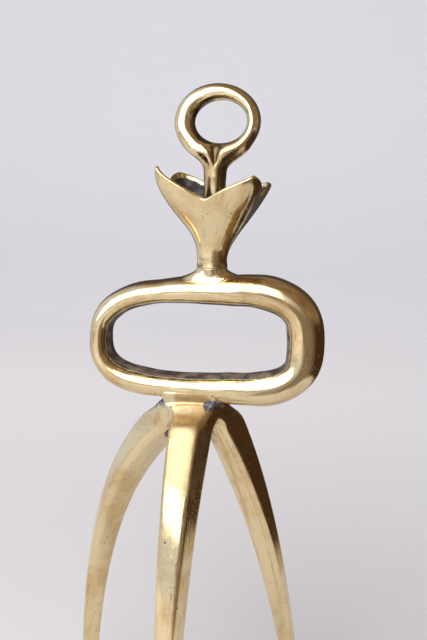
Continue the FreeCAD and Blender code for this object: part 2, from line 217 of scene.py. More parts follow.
axisMiddle = boxOf("hub_stud")[2]
neckMiddle = boxOf("neck_stud")[2]
legShape = {
    "seamZ": 103.5,      # where a leg meets the hub
    "topZ": 118.0,       # where a leg's centre line starts
    "thickTop": 5.8,
    "face": 0.66,        # outer face's share of the width
    "ridge": 0.32,       # rounding of the ridges
    "overlap": (2.2, 1.8, 1.4),      # how far above the seam the narrowing end rows stand, inside the hub
    "dull": (84.0, 103.0),           # the front leg's polish fades between these heights
    # how far the leg's plane passes to the right of the middle, start radius and bow of the centre line, foot
    # mount, twist in degrees, half widths at top and foot, foot's half thickness
    "legs": {
        "leg_front": (1.8, 6.0, 1.9, "foot_front", 0.0, 7.3, 3.68, 2.34),
        "leg_right": (0.0, 8.0, 1.35, "foot_right", -45.0, 6.7, 2.8, 1.9),
        "leg_left": (0.0, 3.0, 3.1, "foot_left", 50.0, 6.7, 3.0, 2.0),
    },
    "rows": 150, "columns": 120,
}


def legFacts(leg):
    # start radius, bow, foot radius, direction from the leg's own upright line to its foot, and that line
    aside, start, bow, mount = legShape["legs"][leg][:4]
    origin = np.array([axisMiddle[0] + aside, axisMiddle[1], 0])
    reach = pointOf(mount) - origin
    foot = math.hypot(reach[0], reach[1])
    return start, bow, foot, np.array([reach[0] / foot, reach[1] / foot, 0.0]), origin


def legPath(leg, z):
    # radius = start + (foot - start) * (1 - e^(-bow * share)) / (1 - e^(-bow)), share counted down from the top
    start, bow, foot = legFacts(leg)[:3]
    top = legShape["topZ"]
    share = (top - z) / top
    spread = (foot - start) / (1 - math.exp(-bow))
    return start + spread * (1 - np.exp(-bow * share)), -spread * bow / top * np.exp(-bow * share)


def legWidths(leg, z):
    # half width across and half thickness along the radius, both shrinking to the foot as powers of height
    share = np.clip(z / legShape["seamZ"], 0, 1.12)
    topWide, footWide, footThick = legShape["legs"][leg][5:]
    return (footWide + (topWide - footWide) * share ** 1.3,
            footThick + (legShape["thickTop"] - footThick) * share ** 1.25)


def legTwist(leg, z):
    # the section turns as the square root of the way down
    share = np.clip((legShape["topZ"] - z) / legShape["topZ"], 0, 1)
    turn = math.radians(legShape["legs"][leg][4]) * np.sqrt(share)
    return np.cos(turn), np.sin(turn)


def legSection(u, v, wide, thick):
    # rounded maximum of the distances to an outer face, sloping sides, an inner face and its bevels
    u = np.sqrt(u * u + 0.01)
    side = np.stack([1.6 * thick, (1 - legShape["face"]) * wide], 0)
    side = side / np.linalg.norm(side, axis=0)
    bevel = np.stack([0.45 * thick, 0.30 * wide], 0)
    bevel = bevel / np.linalg.norm(bevel, axis=0)
    planes = [
        v - thick + 0.035 * u * u,
        side[0] * (u - wide) + side[1] * (v + 0.6 * thick),
        -v - thick + 0.02 * u * u,
        bevel[0] * (u - wide) - bevel[1] * (v + 0.55 * thick),
    ]
    return softMax(planes, legShape["ridge"])


def legField(leg, points):
    # the section's distance in the plane square to the centre line, and the height where that plane meets
    # the line, found in a few steps of Newton's rule
    out, origin = legFacts(leg)[3:]
    rel = points - origin
    rho = rel @ out
    u = rel @ np.array([-out[1], out[0], 0])
    z0 = points[:, 2].copy()
    for _ in range(6):
        radius, slope = legPath(leg, z0)
        z0 = z0 + ((rho - radius) * slope + points[:, 2] - z0) / (1 + slope ** 2)
    radius, slope = legPath(leg, z0)
    v = ((rho - radius) - (points[:, 2] - z0) * slope) / np.sqrt(1 + slope ** 2)
    wide, thick = legWidths(leg, z0)
    c, s = legTwist(leg, z0)
    return legSection(u * c + v * s, v * c - u * s, wide, thick), z0


def makeLeg(leg):
    # the section's outline, found along rays from its middle, carried down the centre line; the rays lie
    # square to the line at the top and level at the foot
    rows, columns = legShape["rows"], legShape["columns"]
    seam = legShape["seamZ"]
    end, second, third = (seam + more for more in legShape["overlap"])
    z = np.concatenate([[end, second], np.linspace(third, 0.5, rows - 4), [0.12, 0.0]])
    wide, thick = legWidths(leg, z)
    angle = np.linspace(0, 2 * np.pi, columns, endpoint=False)
    rayU, rayV = np.cos(angle)[None, :] * wide[:, None], np.sin(angle)[None, :] * thick[:, None]
    near, far = np.zeros((rows, columns)), np.full((rows, columns), 1.5)
    for _ in range(30):
        half = (near + far) / 2
        outside = legSection(half * rayU, half * rayV, wide[:, None], thick[:, None]) > 0
        near, far = np.where(outside, near, half), np.where(outside, half, far)
    shrink = np.ones(rows)
    shrink[:2] = (0.86, 0.93)
    shrink[-3:] = (0.985, 0.95, 0.88)
    shrink = shrink - 0.02 * easeStep(seam + 0.2, third, z)
    c, s = (part[:, None] for part in legTwist(leg, z))
    u, v = half * rayU * shrink[:, None], half * rayV * shrink[:, None]
    u, v = u * c - v * s, u * s + v * c
    out, origin = legFacts(leg)[3:]
    radius, slope = legPath(leg, z)
    level = easeStep(9.0, 2.0, z)
    lean = np.arctan(-slope) * (1 - level)
    stretch = 1 / np.cos(np.arctan(-slope) * level)
    side = np.array([-out[1], out[0], 0])
    points = (
        origin
        + (radius[:, None] + v * (np.cos(lean) * stretch)[:, None])[..., None] * out
        + u[..., None] * side
        + (z[:, None] + v * np.sin(lean)[:, None])[..., None] * np.array([0, 0, 1.0])
    )
    points[..., 2] = np.maximum(points[..., 2], 0)
    flow = np.stack(np.broadcast_arrays(half * rayU, half * rayV, z[:, None] / flowSlow), -1).reshape(-1, 3)
    points = points.reshape(-1, 3)
    points, flow = (np.vstack([p, p[:columns].mean(0), p[-columns:].mean(0)]) for p in (points, flow))
    skin = np.zeros(len(points))
    faces = gridFaces(rows, columns, capFirst=rows * columns, capLast=rows * columns + 1)
    name = {"leg_front": "frontLeg", "leg_right": "rightLeg", "leg_left": "leftLeg"}[leg]
    piece = buildMesh(name, points, faces, skin, node=leg, flow=flow)
    dull = easeStep(*legShape["dull"], points[:, 2]) if leg == "leg_front" else 0 * points[:, 2]
    addMark(piece, "dullMark", dull)
    return piece


hubShape = {
    "blend": 1.1,        # rounding of the crotches
    "pillar": (11.6, 6.8, 112.0),    # half width, half depth, lower end
    "topZ": 119.2,
    "dome": (5.0, 6.8, 1.3, 4.6),    # half length of its ridge, radius of its flat top, slope beyond, whole fall
    "fillet": 1.5,       # rounding against the loop above
    "cutZ": 123.5,       # where it ends, inside the loop's lower bar
    "step": 0.5,
}


def hubField(points):
    # three leg sections and a short pillar melted together under a dome with an oblong flat top, then
    # melted into the underside of the loop; past the seam each arm thins so that it dives into its leg
    arms = []
    for leg in legShape["legs"]:
        value, z0 = legField(leg, points)
        dive = easeStep(0.0, 3.0, legShape["seamZ"] - z0)
        arms.append(np.maximum(value + 1.3 * dive, legShape["seamZ"] - 2.4 - z0))
    rel = points - axisMiddle
    wide, deep, foot = hubShape["pillar"]
    flare = 1 + 0.10 * easeStep(115.0, 119.0, points[:, 2])
    pillar = (np.hypot(rel[:, 0] / (wide * flare), rel[:, 1] / (deep * flare)) - 1) * deep
    pillar = softMax([pillar, foot - 0.2 * rel[:, 1] - points[:, 2]], 1.0)
    ridge, flat, slope, fall = hubShape["dome"]
    away = np.maximum(np.hypot(np.maximum(np.abs(rel[:, 0]) - ridge, 0), rel[:, 1]) - flat, 0)
    dome = (points[:, 2] - hubShape["topZ"] + fall * np.tanh(slope * away / fall)) / 1.4
    high = easeStep(107.0, 114.0, points[:, 2])
    melted = softMin(arms + [pillar], hubShape["blend"])
    body = softMax([melted, dome, points[:, 2] - hubShape["topZ"]], 0.35 + 0.75 * high)
    above = barUnder(points) + 0.15 + 5.0 * easeStep(8.0, 15.0, np.abs(rel[:, 0]))
    return softMax([softMin([body, above], hubShape["fillet"]), points[:, 2] - hubShape["cutZ"]], 0.3)


def barUnder(points):
    # distance to the loop's lower bar, whose centre line sags as the superellipse's lower half
    a, b = loopShape["half"]
    rel = points - loopShape["middle"]
    n = loopShape["square"][0]
    centre = -b * (1 - np.clip(np.abs(rel[:, 0] / a), 0, 0.95) ** n) ** (1 / n)
    thick = barThickness(rel[:, 0])
    return (np.hypot(rel[:, 1] / loopShape["depth"], (rel[:, 2] - centre) / thick) - 1) * thick


def makeHub():
    # the surface where the hub's field is zero
    low, high, _ = boxOf("leg_hub")
    high[2] = hubShape["cutZ"]
    points, faces = skinOfField(hubField, low - 1.5, high + 1.5, hubShape["step"])
    down = -slopeOf(hubField, points)[:, 2]
    rel = points - axisMiddle
    away = np.hypot(rel[:, 0], rel[:, 1])
    skin = easeStep(0.35, 0.8, down) * easeStep(12.0, 7.0, away) * easeStep(115.5, 113.0, points[:, 2])
    piece = buildMesh("legHub", points, faces, skin, node="leg_hub")
    # solder shows at both ends of the joint with the loop, more on the right
    band = easeStep(116.0, 118.3, points[:, 2]) * easeStep(121.5, 120.0, points[:, 2])
    ends = np.maximum(easeStep(-6.5, -10.0, rel[:, 0]), easeStep(2.5, 7.0, rel[:, 0]))
    addMark(piece, "solderMark", band * np.maximum(ends, 0.45))
    # painted shade: darker where the hub's surface faces down near its middle, in the crotches; and a dull front
    addMark(piece, "stainAndShadeMark", 0.75 * easeStep(-0.1, 0.5, down) * easeStep(11.5, 6.0, away))
    addMark(piece, "dullMark", easeStep(9.0, 3.0, np.abs(rel[:, 0] - 1.0)) * easeStep(2.0, -4.0, rel[:, 1]))
    return piece


# opener loop

loopMiddle = boxOf("opener_loop")[2]
loopShape = {
    "middle": loopMiddle + np.array([-1.82, 0.0, -0.9]),
    "half": (35.0, 16.8),     # of the bar's centre line
    "square": (2.9, 0.3),     # exponent at the middle, and how much squarer the right end is
    "thin": 3.4, "thick": 6.1,
    "depth": 6.9,
    "rounding": 2.15,         # exponent of the bar's section
    "swell": 0.10,            # size of the slow unevenness
    "trimMiddle": 1.9,        # the trims' angles are taken about a place this far to the right
    # the file's trims: angle from the right end, and how far the outer and the inner edge stand off the oblong
    "trims": (
        (0, 0.5, -0.3), (10, 0.3, -0.5), (20, 0.4, 0.2), (30, 1.2, 0.5), (40, 1.5, 0.5), (50, 1.0, 0.4),
        (60, 0.4, 0.0), (72, 0.0, 0.0), (118, 0.0, 0.0), (135, -0.4, 0.0), (150, 0.4, -0.7),
        (160, 0.1, -0.9), (175, -0.6, -0.6), (190, 0.2, -0.6), (200, 0.6, -0.8), (212, 0.2, -1.6),
        (222, -0.6, -1.4), (232, -1.3, -1.0), (245, -0.9, -1.0), (262, -0.4, -0.9), (285, -0.3, -0.8),
        (300, -0.3, -0.7), (310, 0.4, -0.4), (320, 1.1, -0.2), (330, 0.8, 0.5), (340, 0.1, 0.5), (350, 0.1, -0.2),
    ),
    "rows": 420, "columns": 96,
    "neck": (5.0, 164.6),     # radius and top of the neck
    "landing": (12.5, 5.9),   # where the neck's flare ends on the bar
}


def loopOutline(t):
    # superellipse: x = half length * c^(2/n), z = half height * s^(2/n), signed powers, n growing with c
    c, s = np.cos(t), np.sin(t)
    power = 2 / (loopShape["square"][0] + loopShape["square"][1] * c)
    a, b = loopShape["half"]
    return np.stack([a * signedPower(c, power), b * signedPower(s, power)], -1)


def evenAlong(curve, count):
    # the closed curve's points spread evenly by length, with their outward normals
    path = np.vstack([curve, curve[:1]])
    length = np.concatenate([[0], np.cumsum(np.linalg.norm(np.diff(path, axis=0), axis=1))])
    even = np.linspace(0, length[-1], count, endpoint=False)
    spots = np.stack([np.interp(even, length, path[:, k]) for k in range(2)], -1)
    ahead = np.roll(spots, -3, 0) - np.roll(spots, 3, 0)
    ahead /= np.linalg.norm(ahead, axis=1, keepdims=True)
    return spots, np.stack([ahead[:, 1], -ahead[:, 0]], -1)


def barThickness(x):
    # half thickness, growing in a straight line from the left end to the right
    share = np.clip(x / loopShape["half"][0], -1, 1)
    middle = (loopShape["thin"] + loopShape["thick"]) / 2
    return middle + (loopShape["thick"] - loopShape["thin"]) / 2 * share


def loopTrims(spots):
    # the trims read at each place's angle and evened out along the bar
    angle = np.degrees(np.arctan2(spots[:, 1], spots[:, 0] - loopShape["trimMiddle"]))
    table = np.array(loopShape["trims"])
    edges = np.stack([np.interp(angle, table[:, 0], table[:, k], period=360) for k in (1, 2)], -1)
    for _ in range(45):
        edges = (np.roll(edges, 1, 0) + 2 * edges + np.roll(edges, -1, 0)) / 4
    return (edges[:, 0] + edges[:, 1]) / 2, (edges[:, 0] - edges[:, 1]) / 2


def makeLoop():
    # the bar's section, a superellipse a little flatter inside, carried round the trimmed outline
    rows, columns = loopShape["rows"], loopShape["columns"]
    spots, out = evenAlong(loopOutline(np.linspace(0, 2 * np.pi, 4000, endpoint=False)), rows)
    angle = np.linspace(0, 2 * np.pi, columns, endpoint=False)
    power = 2 / loopShape["rounding"]
    c, s = np.cos(angle), np.sin(angle)
    across = signedPower(c, power) * np.where(c < 0, 0.93, 1.0)
    depth = signedPower(s, power) * loopShape["depth"]
    thick = barThickness(spots[:, 0])
    swell = handWobble(np.stack([spots[:, 0], 0 * spots[:, 0], spots[:, 1]], -1), loopShape["swell"])
    shift, more = loopTrims(spots)
    reach = shift[:, None] + (thick + more + swell)[:, None] * across[None, :]
    along = spots[:, None, :] + out[:, None, :] * reach[..., None]
    points = np.stack([along[..., 0], np.broadcast_to(depth, (rows, columns)), along[..., 1]], -1)
    skin = np.broadcast_to(easeStep(-0.62, -0.80, across), (rows, columns)).reshape(-1)
    points = points.reshape(-1, 3) + loopShape["middle"]
    slow = spots[:, None] / flowSlow
    flow = np.stack(np.broadcast_arrays(reach + slow[..., 0], depth, slow[..., 1]), -1).reshape(-1, 3)
    faces = gridFaces(rows, columns, wrapRows=True)
    neckPoints, neckFaces = neckFlare(len(points))
    flow = np.vstack([flow, neckPoints * np.array([1, 1, 0.3])])
    return buildMesh("openerLoop", np.vstack([points, neckPoints]), faces + neckFaces,
                     np.concatenate([skin, np.zeros(len(neckPoints))]), node="opener_loop", flow=flow)


def barTop(x, y):
    # height of the top bar's surface over a place on the plan
    a, b = loopShape["half"]
    rel = x - loopShape["middle"][0]
    e, turn = loopShape["rounding"], np.sign(rel) * np.abs(rel / a) ** 1.45
    n = loopShape["square"][0] + loopShape["square"][1] * turn
    centre = b * (1 - np.abs(rel / a) ** n) ** (1 / n)
    rise = (1 - np.clip(np.abs(y / loopShape["depth"]), 0, 0.999) ** e) ** (1 / e)
    return loopShape["middle"][2] + centre + barThickness(rel) * rise


def neckFlare(start):
    # a Hermite curve for each direction: straight down from the neck's circle, then out along the bar
    rows, columns = 26, 96
    angle = np.linspace(0, 2 * np.pi, columns, endpoint=False)
    radius, top = loopShape["neck"]
    neck = neckMiddle
    c, s = np.cos(angle), np.sin(angle)

    def landing(scale):
        x, y = neck[0] + loopShape["landing"][0] * scale * c, loopShape["landing"][1] * scale * s
        return np.stack([x, y + neck[1], barTop(x, y)], -1)

    first = np.stack([neck[0] + radius * c, neck[1] + radius * s, np.full(columns, top)], -1)
    last = landing(1.0)
    leave = last - landing(0.97)
    leave *= 6.0 / np.linalg.norm(leave, axis=1, keepdims=True)
    fall = np.stack([0.0 * c, 0.0 * c, -5.0 + 0 * c], -1)
    t = np.linspace(0, 1, rows)[:, None, None]
    flare = ((2 * t ** 3 - 3 * t ** 2 + 1) * first + (t ** 3 - 2 * t ** 2 + t) * fall
             + (3 * t ** 2 - 2 * t ** 3) * last + (t ** 3 - t ** 2) * leave)
    flare[-1, :, 2] -= 0.06
    points = flare.reshape(-1, 3)
    caps = np.array([[neck[0], neck[1], top], [neck[0], neck[1], top - 8.0]])
    count = rows * columns
    faces = gridFaces(rows, columns, start, capFirst=start + count, capLast=start + count + 1)
    return np.vstack([points, caps]), [f[:, ::-1] for f in faces]


# collar cup

cupShape = {
    "heights": (164.8, 166.3, 168.2, 171.5, 175.5, 180.5, 185.5, 191.0, 199.0),
    "halves": (5.15, 4.98, 5.0, 5.65, 7.6, 11.0, 14.0, 16.2, 17.6),
    "square": (2.0, 2.0, 2.05, 2.15, 2.3, 2.8, 4.0, 5.5, 6.5),
    "notchZ": 186.5,
    "petals": {           # rise to each corner, roundness of its tip, how much further out it is bent
        "backRight": (5.2, 1.0, 0.03), "backLeft": (8.8, 0.9, 0.18),
        "frontLeft": (10.4, 0.0, 0.01), "frontRight": (7.5, 0.45, 0.11),
    },
    "wall": 1.35,
    "floorZ": 172.0,
    "drift": 1.2,         # how far its middle stands to the right of the neck above height 178
    "turn": -5.5,         # degrees
    "rows": 110, "columns": 288,
}


def smoothTable(z, heights, values):
    # a smooth curve through a few values, each span eased with slopes taken from its neighbours
    heights, values = np.array(heights), np.array(values)
    slopes = np.gradient(values, heights)
    k = np.clip(np.searchsorted(heights, z, side="right") - 1, 0, len(heights) - 2)
    span = heights[k + 1] - heights[k]
    t = np.clip((z - heights[k]) / span, 0, 1)
    return ((2 * t ** 3 - 3 * t ** 2 + 1) * values[k] + (t ** 3 - 2 * t ** 2 + t) * span * slopes[k]
            + (3 * t ** 2 - 2 * t ** 3) * values[k + 1] + (t ** 3 - t ** 2) * span * slopes[k + 1])


def cupRadius(angle, z):
    # superellipse of growing squareness: half / (|cos|^n + |sin|^n)^(1/n)
    half = smoothTable(z, cupShape["heights"], cupShape["halves"])
    n = smoothTable(z, cupShape["heights"], cupShape["square"])
    square = half * (np.abs(np.cos(angle)) ** n + np.abs(np.sin(angle)) ** n) ** (-1 / n)
    # each petal bends out round its own corner, more with height
    bend = sum(petal[2] * np.maximum(np.cos(angle - np.radians(45 + 90 * k)), 0) ** 5
               for k, petal in enumerate(cupShape["petals"].values()))
    return square * (1 + bend * easeStep(180.0, 194.0, z))


def cupRim(angle):
    # notch height plus a rise towards each corner; s runs from 0 at a side's middle to 1 at a corner, and the
    # rise mixes s, for a point, with sin(90 degrees * s), for a round tip
    petals = np.array(list(cupShape["petals"].values()))
    rise, tip, _ = petals[np.floor((angle % (2 * np.pi)) / (np.pi / 2)).astype(int)].T
    away = np.abs(((angle + np.pi / 4) % (np.pi / 2)) - np.pi / 4)
    s = np.clip(np.tan(away), 0, 1)
    mixed = tip * np.sin(np.pi * s / 2) + (1 - tip) * s
    return cupShape["notchZ"] + rise * np.sqrt(mixed ** 2.2 + 0.0016)


def makeCup():
    # the outer skin from foot to rim, a rounded lip, then the inner skin one wall's thickness inside it
    rows, columns = cupShape["rows"], cupShape["columns"]
    angle = np.linspace(0, 2 * np.pi, columns, endpoint=False)
    angle = angle + 0.17 * np.sin(4 * angle) / 4   # closer together at the corners
    foot = cupShape["heights"][0]
    share = np.linspace(0, 1, rows)[:, None]
    z = foot + (cupRim(angle)[None, :] - foot) * share
    radius = cupRadius(angle[None, :], z)
    neck = neckMiddle
    drift = cupShape["drift"] * easeStep(166.0, 178.0, z)
    outer = np.stack([neck[0] + drift + radius * np.cos(angle), neck[1] + radius * np.sin(angle), z], -1)
    outer = outer + handWobble(outer.reshape(-1, 3), 0.06).reshape(rows, columns, 1) * np.array([1, 1, 0])
    up = np.gradient(outer, axis=0)
    around = np.roll(outer, -1, 1) - np.roll(outer, 1, 1)
    normal = np.cross(around, up)
    normal /= np.linalg.norm(normal, axis=2, keepdims=True)
    up /= np.linalg.norm(up, axis=2, keepdims=True)
    wall = cupShape["wall"]
    keep = z[:, 0] > cupShape["floorZ"] - 0.5
    inner = (outer - wall * normal)[keep][::-1]
    lip = [outer[-1] + (np.sin(a) * up[-1] * 0.45 - (1 - np.cos(a)) * normal[-1] * 0.5) * wall
           for a in np.linspace(0.3, np.pi - 0.3, 7)]
    grid = np.concatenate([outer, np.stack(lip, 0), inner], 0)
    skin = np.zeros(grid.shape[:2])
    skin[-len(inner):] = easeStep(0.0, 1.6, np.linspace(0, 12, len(inner)))[:, None]
    skin = skin.reshape(-1)
    count = grid.shape[0] * columns
    caps = np.array([[neck[0], neck[1], foot], [neck[0] + 0.6, neck[1], cupShape["floorZ"] - 0.5]])
    points = np.vstack([grid.reshape(-1, 3), caps])
    turn = math.radians(cupShape["turn"])
    rel = points[:, :2] - neck[:2]
    points[:, 0] = neck[0] + rel[:, 0] * math.cos(turn) - rel[:, 1] * math.sin(turn)
    points[:, 1] = neck[1] + rel[:, 0] * math.sin(turn) + rel[:, 1] * math.cos(turn)
    faces = gridFaces(grid.shape[0], columns, capFirst=count, capLast=count + 1)
    away = np.maximum(np.hypot(rel[:, 0], rel[:, 1]), 0.1)
    flow = np.stack([9 * rel[:, 0] / away, 9 * rel[:, 1] / away, points[:, 2] / flowSlow], -1)
    piece = buildMesh("collarCup", points, faces, np.concatenate([skin, [0, 1]]),
                      node="collar_cup", flow=flow)
    # a dark stain at the foot, by the joint with the neck
    addMark(piece, "stainAndShadeMark", 0.6 * easeStep(167.5, 165.6, points[:, 2]))
    return piece


# ring head and stem

ringLow, ringHigh, _ = boxOf("head_ring")
headShape = {
    "centre": np.array([neckMiddle[0] + 2.2, neckMiddle[1], 212.0]),
    "half": (11.6, 9.58),
    "thick": (3.3, 2.1),      # at the left and at the right
    "depth": 3.75,
    "turn": -6.0, "lean": 4.0,
    "stem": (             # height, distance right of the neck, half width
        (165.0, 0.6, 3.4), (188.0, 0.9, 3.6), (194.0, 0.95, 3.7),
        (197.5, 1.2, 4.1), (200.5, 2.0, 6.2), (203.5, 2.2, 8.5),
    ),
    "fork": 1.7,              # depth of the hollow where the two strands part
    "step": 0.42,
}


def headField(points):
    # a bent bar (distance in units of its own section) melted into a stem, with a shallow hollow at the fork
    shape = headShape
    rel = points - shape["centre"]
    turn = math.radians(shape["turn"])
    x = rel[:, 0] * math.cos(turn) + rel[:, 1] * math.sin(turn)
    y = -rel[:, 0] * math.sin(turn) + rel[:, 1] * math.cos(turn)
    tilt = math.tan(math.radians(shape["lean"]))
    y = y - (rel[:, 2] + shape["half"][1]) * tilt
    z = rel[:, 2]
    a, b = shape["half"]
    angle = np.arctan2(z / b, x / a)
    for _ in range(4):     # nearest angle of the ellipse, by Newton's rule
        dx, dz = x - a * np.cos(angle), z - b * np.sin(angle)
        tx, tz = -a * np.sin(angle), b * np.cos(angle)
        angle = angle + (dx * tx + dz * tz) / (tx ** 2 + tz ** 2)
    flat = np.hypot(x - a * np.cos(angle), z - b * np.sin(angle))
    left, right = shape["thick"]
    half = (left + right) / 2 - (left - right) / 2 * np.cos(angle)
    ring = (np.hypot(flat / half, y / shape["depth"]) - 1) * half
    heights, middles, widths = (np.array(column) for column in zip(*shape["stem"]))
    middle = neckMiddle[0] + smoothTable(points[:, 2], heights, middles)
    wide = smoothTable(points[:, 2], heights, widths)
    deep = np.minimum(wide, 3.7)
    stem = (np.hypot((points[:, 0] - middle) / wide, (points[:, 1] - shape["centre"][1]) / deep) - 1) * deep
    stem = softMax([stem, points[:, 2] - 202.6, 171.9 - points[:, 2]], 0.5)
    whole = softMin([ring, stem], 1.0)
    spread = 1.9 * np.clip((points[:, 2] - 197.3) / 6.5, 0.08, 1)
    hollow = np.exp(-((points[:, 0] - neckMiddle[0] - 1.35) / spread) ** 2)
    hollow = hollow * easeStep(196.8, 201.5, points[:, 2]) * easeStep(207.5, 205.0, points[:, 2])
    face = np.abs(points[:, 1] - shape["centre"][1]) / 3.4
    return whole + shape["fork"] * hollow * np.clip(face, 0, 1) ** 1.5


def makeHead():
    # the surface where the head's field is zero
    low, high = ringLow - 1.5, ringHigh + 1.5
    points, faces = skinOfField(headField, low, high, headShape["step"])
    points = points + handWobble(points, 0.05)[:, None] * np.array([0.3, 1, 0.3])
    skin = easeStep(176.0, 173.0, points[:, 2])
    rel = points - headShape["centre"]
    a, b = headShape["half"]
    reach = (np.hypot(rel[:, 0] / a, rel[:, 2] / b) - 1) * 10.5
    ring = easeStep(200.0, 204.0, points[:, 2])
    across = ring * (reach + rel[:, 0] / flowSlow) + (1 - ring) * rel[:, 0]
    flow = np.stack([across, rel[:, 1], rel[:, 2] / flowSlow], -1)
    piece = buildMesh("headRing", points, faces, skin, node="head_ring", flow=flow)
    # painted shade: dark in the fork's hollow, down the stem's right side and a little down its left edge, and
    # inside the ring at the left
    z = points[:, 2]
    right = points[:, 0] - neckMiddle[0] - 1.1
    fork = np.exp(-(right / (0.5 + 0.32 * np.clip(z - 197, 0, 8))) ** 2) * easeStep(195.5, 199.5, z)
    fork = fork * easeStep(206.5, 204.0, z) * easeStep(1.0, -1.5, rel[:, 1])
    stem = easeStep(200.5, 196.5, z) * np.maximum(easeStep(0.2, 1.8, right), 0.8 * easeStep(-2.2, -3.2, right))
    inside = 0.85 * easeStep(-1.2, -2.6, reach) * easeStep(2.0, -4.0, rel[:, 0]) * easeStep(202.0, 205.0, z)
    addMark(piece, "stainAndShadeMark", np.maximum(np.maximum(fork, 0.85 * stem), inside))
    return piece


# solder

solderShape = {           # half width, half depth, height, half thickness, unevenness, where its waves start
    "neck": (4.74, 4.74, 164.75, 0.30, 0.35, 1.3),
    "hub": (10.6, 6.2, 118.3, 0.5, 0.45, 2.1),
    "cup": (3.7, 3.7, 172.6, 0.7, 0.2, 0.4),
    "cupRight": 0.6,      # how far to the right of the neck the cup's ring stands
}


def solderRing(name, node, middle, wide, deep, z, half, rough, seed):
    # a ring whose section is a circle of radius half, made lumpy by a few waves round it
    rows, columns = 220, 20
    around = np.linspace(0, 2 * np.pi, rows, endpoint=False)[:, None]
    angle = np.linspace(0, 2 * np.pi, columns, endpoint=False)[None, :]
    waves = sum(np.sin(k * around + seed * k) / k ** 0.6 for k in (2, 3, 5, 8, 13)) / 3
    size = half * (1 + rough * waves + 0.25 * rough * np.sin(11 * around + 3 * angle + seed))
    c, s = np.cos(around), np.sin(around)
    x = middle[0] + (wide + size * np.cos(angle)) * signedPower(c, 0.85)
    y = middle[1] + (deep + size * np.cos(angle)) * signedPower(s, 0.85)
    height = z + 0.25 * half * waves + size * np.sin(angle)
    points = np.stack(np.broadcast_arrays(x, y, height), -1).reshape(-1, 3)
    return buildMesh(name, points, gridFaces(rows, columns, wrapRows=True), np.ones(len(points)),
                     node=node)


def makeSolder():
    cupMiddle = neckMiddle + np.array([solderShape["cupRight"], 0, 0])
    return [solderRing("neckSolder", "neck_solder", neckMiddle, *solderShape["neck"]),
            solderRing("hubSolder", "hub_solder", axisMiddle, *solderShape["hub"]),
            solderRing("cupSolder", "stem_solder", cupMiddle, *solderShape["cup"])]


# effects shared by the materials

def startGroup(name, inputs, outputs):
    # a node group that takes a place and some numbers, and gives numbers
    group = bpy.data.node_groups.new(name, "ShaderNodeTree")
    group.interface.new_socket("Vector", in_out="INPUT", socket_type="NodeSocketVector")
    for side, titles in (("INPUT", inputs), ("OUTPUT", outputs)):
        for title in titles:
            group.interface.new_socket(title, in_out=side, socket_type="NodeSocketFloat")
    return group, group.nodes.new("NodeGroupInput"), group.nodes.new("NodeGroupOutput")


def setOrLink(tree, socket, value):
    if isinstance(value, (int, float, tuple)):
        socket.default_value = value
    else:
        tree.links.new(value, socket)


def mathNode(tree, operation, first, second, clamp=False):
    node = tree.nodes.new("ShaderNodeMath")
    node.operation = operation
    node.use_clamp = clamp
    for socket, value in zip(node.inputs, (first, second)):
        setOrLink(tree, socket, value)
    return node.outputs[0]


def plus(tree, first, second, clamp=False):
    return mathNode(tree, "ADD", first, second, clamp)


def times(tree, first, second):
    return mathNode(tree, "MULTIPLY", first, second)


def readMark(tree, name):
    node = tree.nodes.new("ShaderNodeAttribute")
    node.attribute_name = name
    return node.outputs


def rangeNode(tree, value, low, high, toLow=0.0, toHigh=1.0):
    node = tree.nodes.new("ShaderNodeMapRange")
    node.interpolation_type = "SMOOTHSTEP"
    tree.links.new(value, node.inputs["Value"])
    for title, number in (("From Min", low), ("From Max", high), ("To Min", toLow), ("To Max", toHigh)):
        node.inputs[title].default_value = number
    return node.outputs["Result"]


def noiseNode(tree, vector, scale, detail=3.0, roughness=0.5, distortion=0.0):
    node = tree.nodes.new("ShaderNodeTexNoise")
    tree.links.new(vector, node.inputs["Vector"])
    titles = ("Scale", "Detail", "Roughness", "Distortion")
    for title, number in zip(titles, (scale, detail, roughness, distortion)):
        node.inputs[title].default_value = number
    return node.outputs["Fac"]


def mixColour(tree, factor, first, second):
    node = tree.nodes.new("ShaderNodeMix")
    node.data_type = "RGBA"
    for socket, value in ((node.inputs[0], factor), (node.inputs[6], first), (node.inputs[7], second)):
        setOrLink(tree, socket, value)
    return node.outputs[2]


def mapped(tree, vector, scale, turn):
    node = tree.nodes.new("ShaderNodeMapping")
    node.inputs["Scale"].default_value = scale
    node.inputs["Rotation"].default_value = turn
    tree.links.new(vector, node.inputs["Vector"])
    return node.outputs["Vector"]


def scratchGroup():
    # fine lines in four directions: noise stretched a hundred to one, kept only at its thin crests
    group, into, out = startGroup("fineScratches", ("Amount",), ("Height", "Mask"))
    total = 0.0
    for turn in ((0.3, 0.2, 0.5), (1.2, 0.7, -0.4), (-0.6, 1.3, 0.9), (0.2, -0.9, 1.6)):
        crest = noiseNode(group, mapped(group, into.outputs["Vector"], (2600, 60, 2600), turn), 1.0, 1.0)
        total = mathNode(group, "MAXIMUM", total, rangeNode(group, crest, 0.68, 0.74))
    patch = rangeNode(group, noiseNode(group, into.outputs["Vector"], 130.0, 2.0), 0.42, 0.62)
    mask = times(group, times(group, total, patch), into.outputs["Amount"])
    group.links.new(times(group, mask, -1.0), out.inputs["Height"])
    group.links.new(mask, out.inputs["Mask"])
    return group


